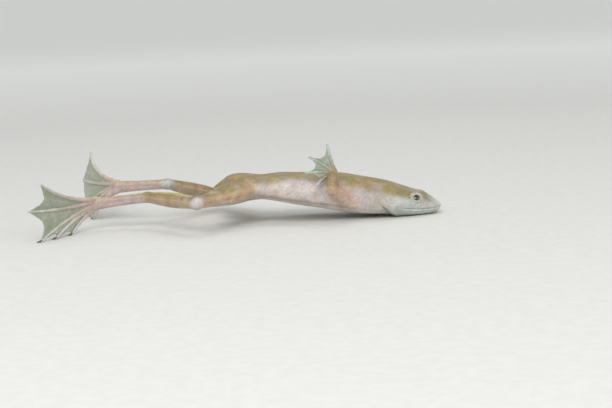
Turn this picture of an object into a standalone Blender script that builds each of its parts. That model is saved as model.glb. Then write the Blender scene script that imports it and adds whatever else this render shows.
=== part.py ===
"""A pale african clawed frog, life size, lying still with both hind legs trailing.

The frog faces +X and +Z is up. It rests on the plane z = 0 on its throat, its left hand
and the lower toes of both hind feet. Its right side faces -Y.
Points are laid out in millimetres from the snout tip, which is at x = 0 over the
midline y = 0, and the finished model is then moved so that the origin is under the
middle of its box.
"""

import math

import bmesh
import bpy
from mathutils import Vector

MM = 0.001

# Clearances
GAP = 0.3 * MM                 # between pieces that meet
HALF_GAP = GAP / 2
FLOOR_SINK = 0.15              # mm that a resting piece is sunk before it is cut flat

# Head and torso: distance behind the snout, underside, back, half width, all in mm
HEAD_STATIONS = (
    (0.0, 2.0, 2.8, 0.7),
    (0.5, 1.0, 3.5, 1.7),
    (1.6, 0.3, 4.3, 2.8),
    (3.2, 0.0, 5.5, 4.0),
    (5.2, -0.1, 6.9, 5.3),
    (7.6, -FLOOR_SINK, 7.5, 6.5),
    (10.5, -FLOOR_SINK, 8.5, 7.8),
    (13.2, -0.1, 9.5, 8.8),
    (15.75, 0.3, 10.4, 9.5),
)
TORSO_STATIONS = (
    (15.75, 0.6, 10.4, 9.5),
    (19.5, 0.8, 11.3, 10.0),
    (24.0, 1.1, 12.2, 10.5),
    (30.0, 2.1, 13.4, 11.1),
    (36.5, 3.5, 13.8, 11.6),
    (43.0, 4.7, 14.0, 11.3),
    (49.0, 6.0, 13.9, 10.1),
    (54.0, 6.8, 13.6, 8.6),
    (58.5, 7.2, 14.3, 7.0),
    (61.5, 7.6, 14.7, 5.2),
    (64.0, 9.4, 14.0, 3.4),
    (65.4, 11.0, 13.0, 1.3),
)
NECK = 15.9                    # mm behind the snout where head and torso part
WIDEST_LEVEL = 0.46            # of the height, where the body is widest
BODY_SQUARENESS = 2.3          # exponent of the body's section, 2 is an ellipse
HEAD_RINGS = 18
TORSO_RINGS = 24
BODY_SIDES = 24
SNOUT_CROWDING = 1.35          # exponent that draws the head's rings towards the snout
RUMP_CROWDING = 1.25           # exponent that draws the torso's rings towards the rump
LEAST_HALF_WIDTH = 0.05        # mm, of a section at the very tip

# Eyes, nostrils and mouth, in mm
EYE_CENTRE = (-7.5, 5.0, 4.95)
EYE_RADIUS = 1.75
EYE_SEGMENTS = (16, 10)        # round it, from pole to pole
SOCKET_SEGMENTS = (20, 12)
LID_RADIUS = 1.6               # of the ring of the lids
LID_THICKNESS = 0.42
LID_PLACE = 0.55               # of the eye's radius, out along the gaze
LID_SEGMENTS = (20, 8)         # round the eye, round the lid
EYE_TILT = math.radians(26)    # upward turn of the gaze
EYE_FORWARD = math.radians(8)  # forward turn of the gaze
NOSTRIL_CENTRE = (-2.35, 1.75, 4.55)
NOSTRIL_RADIUS = 0.33
NOSTRIL_SEGMENTS = (8, 6)
MOUTH_LENGTH = 12.6            # behind the snout
MOUTH_HEIGHT = 1.95
MOUTH_RISE = 1.1               # of the corner of the mouth
MOUTH_GAP = 0.3
MOUTH_DEPTH = 0.5
MOUTH_STEPS = 12
CUTTER_REACH = 14.0            # mm to each side of the midline
CUTTER_OVERSHOOT = 2.0         # mm past the snout

# Joints of the limbs, in mm: x, y, z. The right limbs are the ones at -Y
SHOULDERS = {"right": (-27.3, -7.2, 6.2), "left": (-26.8, 7.0, 6.4)}
ELBOWS = {"right": (-32.7, -16.0, 10.4), "left": (-24.6, 15.4, 4.9)}
WRISTS = {"right": (-32.35, -11.4, 14.9), "left": (-18.4, 15.6, 1.75)}
HIPS = {"right": (-57.0, -2.6, 10.1), "left": (-57.2, 2.6, 9.7)}
KNEES = {"right": (-71.8, -24.0, 9.5), "left": (-67.3, 28.0, 4.3)}
ANKLES = {"right": (-87.7, -4.8, 9.3), "left": (-82.7, 9.0, 11.3)}
FOOT_ROOTS = {"right": (-103.4, -3.6, 7.9), "left": (-98.4, 10.5, 10.9)}

# Limb profiles: place along the limb from 0 to 1, half width, half height, in mm
UPPER_ARM = ((0.0, 2.3, 2.5), (0.45, 1.9, 2.0), (0.8, 1.5, 1.55), (1.0, 1.4, 1.4))
FOREARM = ((0.0, 1.55, 1.5), (0.3, 1.75, 1.65), (0.7, 1.6, 1.45), (1.0, 1.35, 1.25))
THIGH = ((0.0, 4.6, 3.3), (0.35, 4.5, 3.35), (0.6, 3.6, 2.75), (0.85, 2.4, 2.0),
         (1.0, 2.05, 1.85))
SHANK = ((0.0, 2.0, 1.8), (0.2, 2.35, 1.95), (0.45, 2.55, 2.1), (0.75, 1.95, 1.8),
         (1.0, 1.65, 1.65))
TARSUS = ((0.0, 1.6, 1.7), (0.3, 1.4, 1.5), (0.65, 1.35, 1.6), (1.0, 1.3, 2.1))
LIMB_SIDES = 12
LIMB_RINGS = 9
END_RINGS = 3                  # that round off a limb past its joint
END_SPREAD = 3.4               # rings to the pole, so that the last one isn't a point

# Digits of the feet from the outer (fifth) toe to the inner (first): tip in mm and how far
# the toe bows towards its back, in mm
TOE_TIPS = {
    "right": (((-116.2, -23.6, 16.7), 1.2), ((-119.8, -25.8, 9.4), 1.4),
              ((-117.2, -23.4, 0.2), 1.3), ((-113.6, -18.8, 0.2), 0.9),
              ((-109.9, -12.6, 0.2), 0.6)),
    "left": (((-109.0, 33.4, 19.6), 1.2), ((-112.4, 37.0, 10.6), 1.4),
             ((-111.2, 30.6, 0.2), 1.3), ((-109.4, 24.4, 0.2), 0.9),
             ((-107.2, 18.0, 0.2), 0.6)),
}
# Digits of the hands, in the order from the highest or foremost finger
FINGER_TIPS = {
    "right": (((-33.6, -11.6, 23.4), 0.5), ((-39.0, -11.6, 19.9), 0.5),
              ((-40.4, -11.9, 15.2), 0.4), ((-37.1, -12.4, 11.6), 0.3)),
    "left": (((-8.8, 13.0, 0.2), 0.9), ((-8.3, 17.2, 0.2), 1.0),
             ((-10.2, 21.0, 0.2), 0.9), ((-14.6, 22.4, 0.2), 0.6)),
}
# Feet and hands, in mm: half width and half thickness at the root, share of the length that
# is palm, half width of a digit and how much of it is left at the tip, how far a digit leaves
# its root straight on, half thickness of the web, how far it reaches midway between two
# digits, the exponent of its edge, rows of faces
FOOT = {"root_wide": 2.1, "root_thick": 1.3, "palm_reach": 0.34, "digit": 0.70,
        "tip_share": 0.5, "onward": 0.6, "web_half": 0.26, "web_reach": 0.82,
        "web_curve": 2, "rows": 11}
HAND = {"root_wide": 1.6, "root_thick": 1.0, "palm_reach": 0.3, "digit": 0.52,
        "tip_share": 0.65, "onward": 0.3, "web_half": 0.26, "web_reach": 0.6,
        "web_curve": 4, "rows": 9}
WEB_COLUMNS = (0.12, 0.5, 0.88)  # places across the web between two digits
DIGIT_START = 0.8              # of the root's half width, where the outer digits start
DIGIT_CROWDING = 0.4           # half a digit's width at most, of the space to the next one
BEND_PLACE = 0.45              # of a digit's length, where its bend lies
ROOT_BLEND = 0.15              # of a digit's length, where it turns square to its own line
SLOPE_STEP = 0.02              # of a digit's length, to find which way it points
SHEET_BLEND = 0.34             # of a digit's length, where the sheet faces its own way
PALM_FADE = 0.8                # exponent of the palm's thinning towards the digits
PALM_EDGE = 0.9                # how much thinner the palm is at its edges

# Claws on the three inner toes, in mm
CLAWED_TOES = (2, 3, 4)
CLAW_LENGTH = 1.7
CLAW_RADIUS = 0.33
CLAW_DROOP = 0.12              # of its length
CLAW_TAPER = 0.85
CLAW_LIFT = 0.25               # of its root above the toe's tip
CLAW_RINGS = 5
CLAW_SIDES = 8

# Colours, roughness
PALE_SKIN = (0.70, 0.58, 0.50)
LIMB_SKIN = (0.66, 0.47, 0.42)
FOOT_SKIN = (0.52, 0.48, 0.44)
EYE_COLOUR = (0.10, 0.02, 0.03)
CLAW_COLOUR = (0.22, 0.10, 0.09)


def mm(point):
    """A point given in millimetres, as a vector in metres."""
    return Vector(point) * MM


def clear_scene():
    for obj in list(bpy.data.objects):
        bpy.data.objects.remove(obj, do_unlink=True)


def make_collection(name):
    collection = bpy.data.collections.new(name)
    bpy.context.scene.collection.children.link(collection)
    return collection


def make_material(name, colour, roughness):
    material = bpy.data.materials.new(name)
    material.use_nodes = True
    shader = material.node_tree.nodes["Principled BSDF"]
    shader.inputs["Base Color"].default_value = (*colour, 1.0)
    shader.inputs["Roughness"].default_value = roughness
    shader.inputs["Metallic"].default_value = 0.0
    material.diffuse_color = (*colour, 1.0)
    return material


def smooth_value(stations, place, column):
    """One column of a station table at any place, on a smooth curve through the stations."""
    keys = [station[0] for station in stations]
    values = [station[column] for station in stations]
    place = min(max(place, keys[0]), keys[-1])
    index = 0
    while index < len(keys) - 2 and place > keys[index + 1]:
        index += 1

    def slope(i):
        low = max(i - 1, 0)
        high = min(i + 1, len(keys) - 1)
        return (values[high] - values[low]) / (keys[high] - keys[low])

    step = keys[index + 1] - keys[index]
    t = (place - keys[index]) / step
    return ((2 * t ** 3 - 3 * t ** 2 + 1) * values[index]
            + (t ** 3 - 2 * t ** 2 + t) * step * slope(index)
            + (3 * t ** 2 - 2 * t ** 3) * values[index + 1]
            + (t ** 3 - t ** 2) * step * slope(index + 1))


def bezier(start, middle, end, t):
    return start * (1 - t) ** 2 + middle * (2 * t * (1 - t)) + end * t ** 2


def mesh_object(name, points, faces, collection):
    """An object from points and faces, split into triangles, with its faces pointing out."""
    mesh = bpy.data.meshes.new(name)
    bm = bmesh.new()
    verts = [bm.verts.new(point) for point in points]
    for face in faces:
        bm.faces.new([verts[i] for i in face])
    bmesh.ops.triangulate(bm, faces=bm.faces[:])
    bmesh.ops.recalc_face_normals(bm, faces=bm.faces[:])
    bm.to_mesh(mesh)
    bm.free()
    obj = bpy.data.objects.new(name, mesh)
    collection.objects.link(obj)
    return obj


def loft(name, rings, collection):
    """A closed body through rings of equally many points."""
    sides = len(rings[0])
    points = [point for ring in rings for point in ring]
    faces = [list(range(sides - 1, -1, -1))]
    for row in range(len(rings) - 1):
        base = row * sides
        for k in range(sides):
            right = (k + 1) % sides
            faces.append((base + k, base + right, base + sides + right, base + sides + k))
    last = (len(rings) - 1) * sides
    faces.append([last + k for k in range(sides)])
    return mesh_object(name, points, faces, collection)


def body_ring(stations, behind, grow):
    """The section of head or torso at a distance behind the snout, grown by some mm."""
    bottom = smooth_value(stations, behind, 1) - grow
    top = smooth_value(stations, behind, 2) + grow
    half_width = max(smooth_value(stations, behind, 3) + grow, LEAST_HALF_WIDTH)
    if top - bottom < 2 * LEAST_HALF_WIDTH:
        level = (top + bottom) / 2
        top = level + LEAST_HALF_WIDTH
        bottom = level - LEAST_HALF_WIDTH
    middle = bottom + WIDEST_LEVEL * (top - bottom)
    ring = []
    for k in range(BODY_SIDES):
        angle = 2 * math.pi * (k + 0.5) / BODY_SIDES
        across = math.copysign(abs(math.cos(angle)) ** (2 / BODY_SQUARENESS), math.cos(angle))
        upward = math.copysign(abs(math.sin(angle)) ** (2 / BODY_SQUARENESS), math.sin(angle))
        height = top - middle if upward > 0 else middle - bottom
        ring.append(mm((-behind, half_width * across, middle + height * upward)))
    return ring


def body_loft(name, stations, start, end, rings, collection, grow=0.0):
    """Head or torso between two distances behind the snout, with close rings at its tip."""
    places = []
    for i in range(rings):
        t = i / (rings - 1)
        if stations is HEAD_STATIONS:
            t = t ** SNOUT_CROWDING
        else:
            t = 1 - (1 - t) ** RUMP_CROWDING
        places.append(start + (end - start) * t)
    return loft(name, [body_ring(stations, place, grow) for place in places], collection)


def frame_of(direction, up=Vector((0, 0, 1))):
    """Two unit vectors across a direction: sideways and upward."""
    side = direction.cross(up).normalized()
    return side, side.cross(direction).normalized()


def limb(name, start, end, profile, collection):
    """A tapered limb with rounded ends that reach past both joints."""
    axis = end - start
    direction = axis.normalized()
    side, up = frame_of(direction)
    rings = []

    def add_ring(centre, half_width, half_height):
        ring = []
        for k in range(LIMB_SIDES):
            angle = 2 * math.pi * k / LIMB_SIDES
            ring.append(centre + side * (half_width * math.cos(angle))
                        + up * (half_height * math.sin(angle)))
        rings.append(ring)

    def add_end(centre, station, outward, order):
        reach = (station[1] + station[2]) / 2 * MM
        for i in order:
            angle = math.pi / 2 * i / END_SPREAD
            add_ring(centre + outward * (reach * math.sin(angle)),
                     station[1] * MM * math.cos(angle), station[2] * MM * math.cos(angle))

    add_end(start, profile[0], -direction, range(END_RINGS, 0, -1))
    for i in range(LIMB_RINGS):
        place = i / (LIMB_RINGS - 1)
        add_ring(start + axis * place, smooth_value(profile, place, 1) * MM,
                 smooth_value(profile, place, 2) * MM)
    add_end(end, profile[-1], direction, range(1, END_RINGS + 1))
    return loft(name, rings, collection)


def cut_plane(obj, point, normal):
    """Cuts away what lies on the normal's side of a plane and closes the cut."""
    bm = bmesh.new()
    bm.from_mesh(obj.data)
    bmesh.ops.bisect_plane(bm, geom=bm.verts[:] + bm.edges[:] + bm.faces[:],
                           plane_co=point, plane_no=normal, clear_outer=True)
    edges = [edge for edge in bm.edges if edge.is_boundary]
    bmesh.ops.holes_fill(bm, edges=edges)
    bmesh.ops.triangulate(bm, faces=bm.faces[:])
    bmesh.ops.recalc_face_normals(bm, faces=bm.faces[:])
    bm.to_mesh(obj.data)
    bm.free()


def joint_normal(before, joint, after):
    """The normal of the plane that halves the angle at a joint, towards the next piece."""
    inward = (joint - before).normalized()
    outward = (after - joint).normalized()
    return (inward + outward).normalized()


def boolean(obj, other, operation):
    modifier = obj.modifiers.new(operation.lower(), "BOOLEAN")
    modifier.operation = operation
    modifier.object = other
    modifier.solver = "EXACT"
    bpy.context.view_layer.update()
    depsgraph = bpy.context.evaluated_depsgraph_get()
    mesh = bpy.data.meshes.new_from_object(obj.evaluated_get(depsgraph))
    obj.modifiers.clear()
    old = obj.data
    obj.data = mesh
    bpy.data.meshes.remove(old)


def keep_largest(obj):
    """Keeps only the largest closed surface of a mesh, split into triangles."""
    bm = bmesh.new()
    bm.from_mesh(obj.data)
    seen = set()
    groups = []
    for start in bm.verts:
        if start in seen:
            continue
        group = {start}
        todo = [start]
        while todo:
            vert = todo.pop()
            for edge in vert.link_edges:
                other = edge.other_vert(vert)
                if other not in group:
                    group.add(other)
                    todo.append(other)
        seen |= group
        groups.append(group)

    def extent(group):
        low = [min(vert.co[axis] for vert in group) for axis in range(3)]
        high = [max(vert.co[axis] for vert in group) for axis in range(3)]
        return math.dist(low, high)

    largest = max(groups, key=extent)
    bmesh.ops.delete(bm, geom=[vert for vert in bm.verts if vert not in largest], context="VERTS")
    bmesh.ops.triangulate(bm, faces=bm.faces[:])
    bmesh.ops.recalc_face_normals(bm, faces=bm.faces[:])
    bm.to_mesh(obj.data)
    bm.free()


def floor_cutter(collection):
    """A slab under the plane that the frog rests on."""
    bm = bmesh.new()
    bmesh.ops.create_cube(bm, size=1.0)
    bmesh.ops.scale(bm, vec=Vector((200, 200, 10)) * MM, verts=bm.verts[:])
    bmesh.ops.translate(bm, vec=mm((-60, 0, -5)), verts=bm.verts[:])
    mesh = bpy.data.meshes.new("floor_cutter")
    bm.to_mesh(mesh)
    bm.free()
    obj = bpy.data.objects.new("floor_cutter", mesh)
    collection.objects.link(obj)
    return obj


def sphere(name, centre, radius, segments, collection):
    bm = bmesh.new()
    bmesh.ops.create_uvsphere(bm, u_segments=segments[0], v_segments=segments[1], radius=radius)
    bmesh.ops.translate(bm, vec=centre, verts=bm.verts[:])
    bmesh.ops.triangulate(bm, faces=bm.faces[:])
    mesh = bpy.data.meshes.new(name)
    bm.to_mesh(mesh)
    bm.free()
    obj = bpy.data.objects.new(name, mesh)
    collection.objects.link(obj)
    return obj


def gaze(side):
    """The direction an eye looks in: outward, upward and a little forward."""
    direction = Vector((math.sin(EYE_FORWARD), side * math.cos(EYE_TILT), math.sin(EYE_TILT)))
    return direction.normalized()


def eye_centre(side):
    return mm((EYE_CENTRE[0], side * EYE_CENTRE[1], EYE_CENTRE[2]))


def lid_ring(name, centre, direction, collection):
    """The low rim of skin round an eye."""
    across, up = frame_of(direction)
    around, section = LID_SEGMENTS
    points = []
    faces = []
    for i in range(around):
        turn = 2 * math.pi * i / around
        outward = across * math.cos(turn) + up * math.sin(turn)
        for k in range(section):
            angle = 2 * math.pi * k / section
            radius = (LID_RADIUS + LID_THICKNESS * math.cos(angle)) * MM
            points.append(centre + outward * radius
                          + direction * (LID_THICKNESS * math.sin(angle) * MM))
    for i in range(around):
        after = (i + 1) % around
        for k in range(section):
            up_one = (k + 1) % section
            faces.append((i * section + k, after * section + k,
                          after * section + up_one, i * section + up_one))
    return mesh_object(name, points, faces, collection)


def mouth_cutter(collection):
    """A thin curved slab that only reaches MOUTH_DEPTH into the head."""
    rings = []
    for i in range(MOUTH_STEPS + 1):
        behind = (MOUTH_LENGTH + CUTTER_OVERSHOOT) * i / MOUTH_STEPS - CUTTER_OVERSHOOT
        share = max(behind, 0.0) / MOUTH_LENGTH
        height = MOUTH_HEIGHT + MOUTH_RISE * share ** 3
        low = height - MOUTH_GAP / 2
        high = height + MOUTH_GAP / 2
        rings.append([mm((-behind, -CUTTER_REACH, low)), mm((-behind, CUTTER_REACH, low)),
                      mm((-behind, CUTTER_REACH, high)), mm((-behind, -CUTTER_REACH, high))])
    slab = loft("mouth_cutter", rings, collection)
    core = body_loft("mouth_core", HEAD_STATIONS, MOUTH_DEPTH, MOUTH_LENGTH + CUTTER_OVERSHOOT,
                     HEAD_RINGS, collection, grow=-MOUTH_DEPTH)
    boolean(slab, core, "DIFFERENCE")
    return slab


def make_head(collection, cutters, floor):
    head = body_loft("head", HEAD_STATIONS, 0.0, NECK - HALF_GAP / MM, HEAD_RINGS, collection)
    for side in (-1, 1):
        centre = eye_centre(side)
        direction = gaze(side)
        rim = lid_ring("lids", centre + direction * (LID_PLACE * EYE_RADIUS * MM), direction,
                       cutters)
        boolean(head, rim, "UNION")
        socket = sphere("socket", centre, EYE_RADIUS * MM + GAP, SOCKET_SEGMENTS, cutters)
        boolean(head, socket, "DIFFERENCE")
        nostril = mm((NOSTRIL_CENTRE[0], side * NOSTRIL_CENTRE[1], NOSTRIL_CENTRE[2]))
        pit = sphere("nostril", nostril, NOSTRIL_RADIUS * MM, NOSTRIL_SEGMENTS, cutters)
        boolean(head, pit, "DIFFERENCE")
    boolean(head, mouth_cutter(cutters), "DIFFERENCE")
    boolean(head, floor, "DIFFERENCE")
    return head


def middle_tip(tips):
    return sum((mm(tip) for tip, bow in tips), Vector()) / len(tips)


def fan(name, root, facing, tips, sizes, collection):
    """A hand or foot: digits raised on one web, spread from a thick root.

    The root lies in the plane across the facing direction. The digits are columns of one
    sheet with a front and a back that are split alike.
    """
    spread = mm(tips[0][0]) - mm(tips[-1][0])
    across = (spread - facing * spread.dot(facing)).normalized()
    back = facing.cross(across).normalized()
    count = len(tips)
    rows = sizes["rows"]

    def digit_path(index, share):
        place = 1 - 2 * index / (count - 1)
        start = root + across * (place * DIGIT_START * sizes["root_wide"] * MM)
        tip, bow = tips[index]
        end = mm(tip)
        straight = start.lerp(end, BEND_PLACE)
        onward = start + facing * ((end - start).length * BEND_PLACE)
        bend = straight.lerp(onward, sizes["onward"])
        return bezier(start, bend - back * (bow * MM), end, share)

    def gap_to(index, other, share, ahead):
        """The way across a digit's own direction from its middle line to another's."""
        gap = digit_path(other, share) - digit_path(index, share)
        return gap - ahead * gap.dot(ahead)

    columns = []
    for index in range(count):
        columns += [(index, index, place) for place in (-1.0, 0.0, 1.0)]
        if index < count - 1:
            columns += [(index, index + 1, place) for place in WEB_COLUMNS]

    def digit_point(index, share, place):
        """A point beside a digit's middle line, with place -1 or 1 at its edges, and the
        direction that its front faces there."""
        ahead = digit_path(index, share + SLOPE_STEP) - digit_path(index, share - SLOPE_STEP)
        ahead.normalize()
        gaps = [gap_to(index, other, share, ahead) * (index - other)
                for other in (index - 1, index + 1) if 0 <= other < count]
        square = sum(gaps, Vector()).normalized()
        sideways = across.lerp(square, min(share / ROOT_BLEND, 1.0)).normalized()
        outward = sideways.cross(ahead).normalized()
        outward = (-back).lerp(outward, min(share / SHEET_BLEND, 1.0)).normalized()
        taper = 1 + (sizes["tip_share"] - 1) * share
        wide = min(sizes["digit"] * MM * taper, DIGIT_CROWDING * min(gap.length for gap in gaps))
        return digit_path(index, share) - sideways * (place * wide), outward

    def sheet_point(column, share):
        first, second, place = column
        if first == second:
            return digit_point(first, share, place)
        notch = (1 - sizes["web_reach"]) * (1 - abs(2 * place - 1) ** sizes["web_curve"])
        low, low_outward = digit_point(first, share * (1 - notch), 1.0)
        high, high_outward = digit_point(second, share * (1 - notch), -1.0)
        return low.lerp(high, place), low_outward.lerp(high_outward, place).normalized()

    def half_thick(column, share):
        first, second, place = column
        ridge = sizes["web_half"]
        if first == second and place == 0:
            ridge = sizes["digit"] * (1 + (sizes["tip_share"] - 1) * share)
        edge = abs(2 * (first + (second - first) * place) / (count - 1) - 1)
        fade = max(1 - share / sizes["palm_reach"], 0.0) ** PALM_FADE
        palm = sizes["root_thick"] * fade * math.sqrt(1 - (PALM_EDGE * edge) ** 2)
        return max(ridge, palm) * MM

    front = []
    rear = []
    for column in columns:
        for row in range(rows + 1):
            point, outward = sheet_point(column, row / rows)
            offset = outward * half_thick(column, row / rows)
            front.append(point + offset)
            rear.append(point - offset)
    points = front + rear
    shift = len(front)
    line = rows + 1
    faces = []
    for c in range(len(columns) - 1):
        for row in range(rows):
            a = c * line + row
            b = a + line
            faces.append((a, a + 1, b + 1))
            faces.append((a, b + 1, b))
            faces.append((shift + a, shift + b + 1, shift + a + 1))
            faces.append((shift + a, shift + b, shift + b + 1))
        for row in (0, rows):
            a = c * line + row
            b = a + line
            faces.append((a, b, shift + b, shift + a))
    for c in (0, len(columns) - 1):
        for row in range(rows):
            a = c * line + row
            faces.append((a, a + 1, shift + a + 1, shift + a))
    return mesh_object(name, points, faces, collection)


def claw(name, toe_end, direction, collection):
    """A small horn cone that goes on from the toe and bends down a little."""
    side, up = frame_of(direction)
    angles = [2 * math.pi * k / CLAW_SIDES for k in range(CLAW_SIDES)]
    rings = []
    for i in range(CLAW_RINGS):
        share = i / (CLAW_RINGS - 1)
        centre = toe_end + direction * (GAP + share * CLAW_LENGTH * MM)
        centre -= up * (CLAW_DROOP * CLAW_LENGTH * share ** 2 * MM)
        radius = CLAW_RADIUS * MM * (1 - CLAW_TAPER * share)
        rings.append([centre + side * (radius * math.cos(angle)) + up * (radius * math.sin(angle))
                      for angle in angles])
    return loft(name, rings, collection)


def make_limb_chain(names, joints, profiles, torso_grown, collection):
    """The pieces of one limb, parted at its joints, with the first set on the torso.

    The last joint is the middle of the digits' tips, which the hand or foot points to.
    """
    pieces = []
    for i, name in enumerate(names):
        piece = limb(name, joints[i], joints[i + 1], profiles[i], collection)
        if i == 0:
            boolean(piece, torso_grown, "DIFFERENCE")
        else:
            normal = joint_normal(joints[i - 1], joints[i], joints[i + 1])
            cut_plane(piece, joints[i] + normal * HALF_GAP, -normal)
        normal = joint_normal(joints[i], joints[i + 1], joints[i + 2])
        cut_plane(piece, joints[i + 1] - normal * HALF_GAP, normal)
        pieces.append(piece)
    return pieces


def main():
    clear_scene()
    frog = make_collection("african_clawed_frog")
    cutters = make_collection("cutters")
    skin = make_material("pale_skin", PALE_SKIN, 0.45)
    limb_skin = make_material("limb_skin", LIMB_SKIN, 0.45)
    foot_skin = make_material("foot_skin", FOOT_SKIN, 0.4)
    eye_gloss = make_material("eye_gloss", EYE_COLOUR, 0.1)
    horn = make_material("claw_horn", CLAW_COLOUR, 0.35)
    made = []

    floor = floor_cutter(cutters)
    made.append((make_head(frog, cutters, floor), skin))
    torso = body_loft("torso", TORSO_STATIONS, NECK + HALF_GAP / MM, TORSO_STATIONS[-1][0],
                      TORSO_RINGS, frog)
    made.append((torso, skin))
    torso_grown = body_loft("torso_grown", TORSO_STATIONS, NECK, TORSO_STATIONS[-1][0],
                            TORSO_RINGS, cutters, grow=GAP / MM)
    for name, side in (("eye_right", -1), ("eye_left", 1)):
        eye = sphere(name, eye_centre(side), EYE_RADIUS * MM, EYE_SEGMENTS, frog)
        made.append((eye, eye_gloss))

    for side in ("right", "left"):
        joints = [mm(SHOULDERS[side]), mm(ELBOWS[side]), mm(WRISTS[side]),
                  middle_tip(FINGER_TIPS[side])]
        names = ["upper_arm_" + side, "forearm_" + side]
        for piece in make_limb_chain(names, joints, (UPPER_ARM, FOREARM), torso_grown, frog):
            made.append((piece, limb_skin))
        facing = joint_normal(*joints[-3:])
        hand = fan("hand_" + side, joints[-2] + facing * HALF_GAP, facing, FINGER_TIPS[side],
                   HAND, frog)
        boolean(hand, floor, "DIFFERENCE")
        made.append((hand, foot_skin))

        joints = [mm(HIPS[side]), mm(KNEES[side]), mm(ANKLES[side]), mm(FOOT_ROOTS[side]),
                  middle_tip(TOE_TIPS[side])]
        names = ["thigh_" + side, "shank_" + side, "tarsus_" + side]
        for piece in make_limb_chain(names, joints, (THIGH, SHANK, TARSUS), torso_grown, frog):
            made.append((piece, limb_skin))
        facing = joint_normal(*joints[-3:])
        foot = fan("foot_" + side, joints[-2] + facing * HALF_GAP, facing, TOE_TIPS[side],
                   FOOT, frog)
        boolean(foot, floor, "DIFFERENCE")
        made.append((foot, foot_skin))
        for number, index in enumerate(CLAWED_TOES):
            tip = mm(TOE_TIPS[side][index][0])
            outward = tip - joints[-2]
            outward.z = 0
            piece = claw("claw_%s_%d" % (side, 3 - number), tip + mm((0, 0, CLAW_LIFT)),
                         outward.normalized(), frog)
            made.append((piece, horn))

    for obj in list(cutters.objects):
        bpy.data.objects.remove(obj, do_unlink=True)
    for obj, material in made:
        keep_largest(obj)
        obj.data.materials.clear()
        obj.data.materials.append(material)
        obj.data.shade_smooth()
        obj.data.set_sharp_from_angle(angle=math.radians(40))

    corners = [vert.co for obj, material in made for vert in obj.data.vertices]
    shift = Vector(((min(c.x for c in corners) + max(c.x for c in corners)) / 2,
                    (min(c.y for c in corners) + max(c.y for c in corners)) / 2, 0.0))
    for obj, material in made:
        for vert in obj.data.vertices:
            vert.co -= shift


main()
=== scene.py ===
"""The looks of a pale african clawed frog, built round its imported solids.

All shapes are laid out in millimetres from the snout tip, at x = 0 over the midline y = 0
and the floor z = 0, and are moved into the frame in metres when their mesh is made. The
flesh is one skin: a distance field in which the body, limbs and digits run into each other,
turned into a mesh by a surface net and pulled onto the field.
"""

import math

import bpy
import numpy as np
from mathutils import Matrix, Vector


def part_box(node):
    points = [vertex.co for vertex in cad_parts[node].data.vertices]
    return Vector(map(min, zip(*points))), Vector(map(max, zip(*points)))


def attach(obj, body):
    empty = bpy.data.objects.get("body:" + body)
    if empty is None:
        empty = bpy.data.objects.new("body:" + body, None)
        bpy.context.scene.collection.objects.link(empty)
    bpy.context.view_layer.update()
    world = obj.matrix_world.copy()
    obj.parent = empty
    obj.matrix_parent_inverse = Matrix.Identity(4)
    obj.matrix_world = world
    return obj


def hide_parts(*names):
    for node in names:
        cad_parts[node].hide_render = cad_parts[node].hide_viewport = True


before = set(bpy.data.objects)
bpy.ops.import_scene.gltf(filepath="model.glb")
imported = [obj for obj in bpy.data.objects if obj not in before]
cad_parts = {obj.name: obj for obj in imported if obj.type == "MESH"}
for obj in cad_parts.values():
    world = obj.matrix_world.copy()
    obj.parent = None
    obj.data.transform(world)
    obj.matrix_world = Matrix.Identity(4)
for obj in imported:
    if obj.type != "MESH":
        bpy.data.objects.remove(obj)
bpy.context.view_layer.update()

MM = 0.001
head_low, head_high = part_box("head")
SNOUT = np.array((head_high.x, (head_low.y + head_high.y) / 2, 0.0))

# Fineness of the skin, in mm, and the sizes of the blocks in which it is searched for
STEP = 0.18
PULL_LIMIT = 0.4  # how far a point is pulled at once, as a share of STEP
FLOOR_BLEND = 0.12
BLOCKS = (16, 4)
BLOCK_SAFETY = 2.0  # times a block's half diagonal
REGION = ((-122.0, -30.0, -1.2), (2.0, 40.5, 25.5))
MARGIN = 2.2  # round a limb's box, where its field is still read
FAR = 50.0  # stands for any distance outside it
HEAD_LENGTH = 20.0  # behind it the head's details aren't worked out
NECK_PLACE = 18.0  # in front of it the torso's details aren't
DETAIL_REACH = 3.0  # and not further than this from the skin

# Body: distance behind the snout, underside, back, half width
BODY_STATIONS = (
    (0.0, 2.0, 2.8, 0.7), (0.5, 1.0, 3.5, 1.7), (1.6, 0.3, 4.3, 2.8), (3.2, 0.0, 5.5, 4.0),
    (5.2, -0.1, 6.9, 5.3), (7.6, -0.15, 7.5, 6.5), (10.5, -0.15, 8.5, 7.8),
    (13.2, -0.1, 9.5, 8.8), (15.2, 0.25, 10.2, 9.4), (16.6, 0.7, 10.6, 9.65),
    (19.5, 0.8, 11.3, 10.0), (24.0, 1.1, 12.2, 10.5), (30.0, 2.1, 13.4, 11.1),
    (36.5, 3.5, 13.8, 11.6), (43.0, 4.7, 14.0, 11.3), (49.0, 6.0, 13.9, 10.1),
    (54.0, 6.9, 13.6, 8.6), (58.5, 7.4, 14.3, 7.0), (61.5, 7.9, 14.6, 5.3),
    (63.6, 8.6, 14.1, 4.1), (65.2, 9.0, 13.1, 3.1), (66.8, 9.2, 11.9, 2.0), (68.0, 9.6, 10.9, 0.9),
)
WIDEST_LEVEL = 0.46
VENT = (-67.4, 0.0, 10.6)
BODY_SQUARENESS = 2.3

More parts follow.
